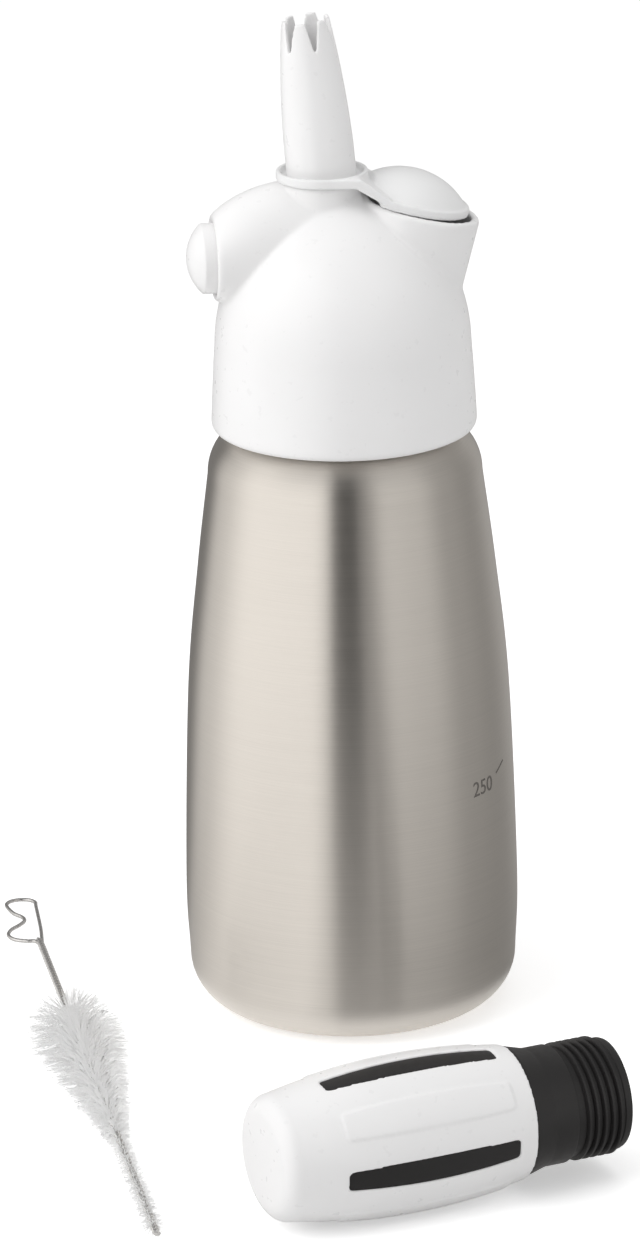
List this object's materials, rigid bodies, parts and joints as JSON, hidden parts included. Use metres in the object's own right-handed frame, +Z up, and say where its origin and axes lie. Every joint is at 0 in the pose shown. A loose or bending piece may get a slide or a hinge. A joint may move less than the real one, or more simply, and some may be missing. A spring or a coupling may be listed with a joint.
{
  "type": "whipped cream dispenser",
  "caption": "Upright steel cream whipper with a white push-button head, serrated nozzle, tethered port lid, charger holder and wire brush.",
  "frame": {"origin": "centre of the bottle's flat foot, on the surface it stands on", "axes": "+Z up along the bottle; the head is symmetric about the XZ plane, with the push button facing -X and the charger port leaning to +X"},
  "size_m": [0.1206, 0.212, 0.2314],
  "materials": {
    "steel": "brushed",
    "white_plastic": "satin",
    "soft_white": "satin",
    "seal_rubber": "matte",
    "pin_steel": "polished",
    "brass": "machined",
    "black_plastic": "satin",
    "nylon": "translucent"
  },
  "bodies": {
    "bottle": {"bottle": "steel"},
    "gasket": {"head_gasket": "seal_rubber"},
    "head": {"head_shell": "white_plastic", "nozzle": "white_plastic", "tether_ring": "soft_white", "valve_cartridge": "brass", "cartridge_o_ring": "seal_rubber", "return_spring": "pin_steel", "pin_carrier": "brass", "piercing_pin": "pin_steel", "port_seal": "seal_rubber", "check_flap": "seal_rubber"},
    "button": {"push_button": "white_plastic", "valve_stem": "pin_steel", "poppet_seal": "seal_rubber", "stem_o_ring": "seal_rubber"},
    "lid": {"port_lid": "soft_white"},
    "charger_holder": {"holder_sleeve": "black_plastic", "holder_cover": "white_plastic"},
    "brush": {"brush_wire": "pin_steel", "brush_loop": "pin_steel", "brush_bristles": "nylon", "brush_tip_bristles": "nylon"}
  },
  "joints": [
    {"name": "head_lift", "type": "slide", "parent": "bottle", "child": "gasket", "axis": [0, 0, 1], "range_m": [0, 0.12]},
    {"name": "head_turn", "type": "hinge", "parent": "gasket", "child": "head", "pos_m": [0, 0, 0.16], "axis": [0, 0, 1], "range_deg": [0, 540]},
    {"name": "button_press", "type": "slide", "parent": "head", "child": "button", "axis": [1, 0, 0], "range_m": [0, 0.004], "stiffness_N_per_m": 1200, "springref_m": -0.003, "deforming": ["return_spring"]},
    {"name": "lid_hinge", "type": "hinge", "parent": "head", "child": "lid", "pos_m": [0.0074, 0, 0.1948], "axis": [0, -1, 0], "range_deg": [0, 110]},
    {"name": "charger_holder_lift", "type": "slide", "parent": "bottle", "child": "charger_holder", "axis": [0, 0, 1], "range_m": [0, 0.1]},
    {"name": "brush_lift", "type": "slide", "parent": "bottle", "child": "brush", "axis": [0, 0, 1], "range_m": [0, 0.1]}
  ]
}
